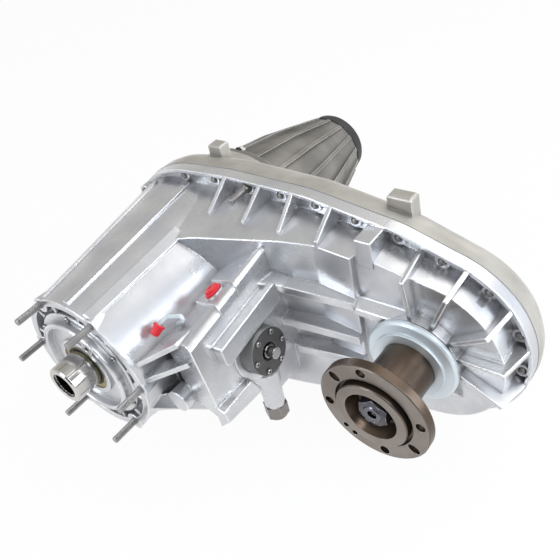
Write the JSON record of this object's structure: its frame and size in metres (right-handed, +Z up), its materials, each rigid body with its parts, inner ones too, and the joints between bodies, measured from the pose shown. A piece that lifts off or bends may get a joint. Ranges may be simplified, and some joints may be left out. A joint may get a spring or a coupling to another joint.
{
  "type": "transfer case",
  "caption": "Part-time four-wheel-drive transfer case: cast case with chain chamber, studded input, ribbed tail housing, front output flange and shift sector.",
  "frame": {"origin": "centre of the input axis on the face that bolts to the transmission", "axes": "+Y along the shafts towards the tail, +X from the input axis to the front output axis, +Z up"},
  "size_m": [0.5302, 0.5385, 0.279],
  "materials": {
    "cast_aluminium": "as-cast and tumbled",
    "gear_steel": "ground",
    "shaft_steel": "machined",
    "bearing_steel": "polished",
    "cast_steel": "machined face, oxidised sides",
    "zinc": "zinc plated",
    "dark_bolt": "phosphated",
    "bright_bolt": "zinc plated",
    "rubber": "moulded",
    "bushing_bronze": "bored",
    "red_plastic": "moulded",
    "filter_plastic": "moulded",
    "magnet_ferrite": "sintered"
  },
  "bodies": {
    "case": {"front_case": "cast_aluminium", "rear_case": "cast_aluminium", "extension_housing": "cast_aluminium", "input_retainer": "cast_aluminium", "retainer_bolts": "bright_bolt", "input_seal": "rubber", "input_bearing": "bearing_steel", "annulus_gear": "gear_steel", "shift_rail": "shaft_steel", "shift_retainer": "dark_bolt", "shift_retainer_screws": "bright_bolt", "drive_chain": "gear_steel", "front_output_bearing": "bearing_steel", "front_output_rear_bearing": "bearing_steel", "front_output_seal": "rubber", "main_bearing_rear": "bearing_steel", "oil_pump": "cast_aluminium", "pump_pickup": "zinc", "pickup_filter": "filter_plastic", "magnet": "magnet_ferrite", "tail_bushing": "bushing_bronze", "tail_seal": "rubber", "drain_plug": "dark_bolt", "fill_plug": "dark_bolt", "port_plug": "red_plastic", "vent_tube": "zinc", "vent_cap": "red_plastic", "transmission_studs": "dark_bolt", "case_bolts": "bright_bolt", "bracket_stud": "dark_bolt", "extension_bolts": "bright_bolt", "dowels": "bearing_steel"},
    "input": {"input_shaft": "shaft_steel", "sun_gear": "gear_steel"},
    "carrier": {"planet_carrier": "gear_steel", "planet_pins": "bearing_steel"},
    "planet_1": {"planet_gear_1": "gear_steel"},
    "planet_2": {"planet_gear_2": "gear_steel"},
    "planet_3": {"planet_gear_3": "gear_steel"},
    "planet_4": {"planet_gear_4": "gear_steel"},
    "main": {"main_shaft": "shaft_steel"},
    "collar": {"range_collar": "gear_steel"},
    "sleeve": {"mode_sleeve": "gear_steel"},
    "drive": {"drive_sprocket": "gear_steel"},
    "front_output": {"front_output_shaft": "shaft_steel", "driven_sprocket": "gear_steel", "output_flange": "cast_steel", "flange_nut": "bright_bolt", "deflector": "zinc"},
    "sector": {"sector_shaft": "shaft_steel"},
    "range_shift": {"range_fork": "cast_aluminium"},
    "mode_shift": {"mode_fork": "cast_aluminium"}
  },
  "joints": [
    {"name": "input_spin", "type": "hinge", "parent": "case", "child": "input", "pos_m": [0, 0, 0], "axis": [0, 1, 0], "continuous": true},
    {"name": "carrier_spin", "type": "hinge", "parent": "case", "child": "carrier", "pos_m": [0, 0.06, 0], "axis": [0, 1, 0], "continuous": true},
    {"name": "planet_spin_1", "type": "hinge", "parent": "carrier", "child": "planet_1", "pos_m": [0.0578, 0.06, 0], "axis": [0, 1, 0], "continuous": true},
    {"name": "planet_spin_2", "type": "hinge", "parent": "carrier", "child": "planet_2", "pos_m": [0, 0.06, 0.0578], "axis": [0, 1, 0], "continuous": true},
    {"name": "planet_spin_3", "type": "hinge", "parent": "carrier", "child": "planet_3", "pos_m": [-0.0578, 0.06, 0], "axis": [0, 1, 0], "continuous": true},
    {"name": "planet_spin_4", "type": "hinge", "parent": "carrier", "child": "planet_4", "pos_m": [0, 0.06, -0.0578], "axis": [0, 1, 0], "continuous": true},
    {"name": "main_spin", "type": "hinge", "parent": "case", "child": "main", "pos_m": [0, 0.2, 0], "axis": [0, 1, 0], "continuous": true},
    {"name": "drive_spin", "type": "hinge", "parent": "case", "child": "drive", "pos_m": [0, 0.2, 0], "axis": [0, 1, 0], "continuous": true},
    {"name": "front_spin", "type": "hinge", "parent": "case", "child": "front_output", "pos_m": [0.31, 0.2, 0], "axis": [0, 1, 0], "continuous": true},
    {"name": "sector_turn", "type": "hinge", "parent": "case", "child": "sector", "pos_m": [0.16152, 0.097, 0.00755], "axis": [0.9903, 0, 0.1392], "range_deg": [-25, 25]},
    {"name": "range_fork_slide", "type": "slide", "parent": "case", "child": "range_shift", "axis": [0, 1, 0], "range_m": [-0.0069, 0.0069]},
    {"name": "mode_fork_slide", "type": "slide", "parent": "case", "child": "mode_shift", "axis": [0, 1, 0], "range_m": [-0.0072, 0.0072]},
    {"name": "range_collar_slide", "type": "slide", "parent": "main", "child": "collar", "axis": [0, 1, 0], "range_m": [-0.0072, 0.0072]},
    {"name": "mode_sleeve_slide", "type": "slide", "parent": "main", "child": "sleeve", "axis": [0, 1, 0], "range_m": [-0.0072, 0.0072]}
  ],
  "couplings": [
    {"joint": "carrier_spin", "follows": "input_spin", "ratio": 0.36765},
    {"joint": "planet_spin_1", "follows": "input_spin", "ratio": -1.7565},
    {"joint": "planet_spin_2", "follows": "input_spin", "ratio": -1.7565},
    {"joint": "planet_spin_3", "follows": "input_spin", "ratio": -1.7565},
    {"joint": "planet_spin_4", "follows": "input_spin", "ratio": -1.7565},
    {"joint": "front_spin", "follows": "drive_spin", "ratio": 1},
    {"joint": "sector_turn", "follows": "range_fork_slide", "rad_per_m": -62.5},
    {"joint": "range_collar_slide", "follows": "range_fork_slide", "ratio": 1},
    {"joint": "mode_fork_slide", "follows": "range_fork_slide", "ratio": -1},
    {"joint": "mode_sleeve_slide", "follows": "range_fork_slide", "ratio": -1}
  ]
}
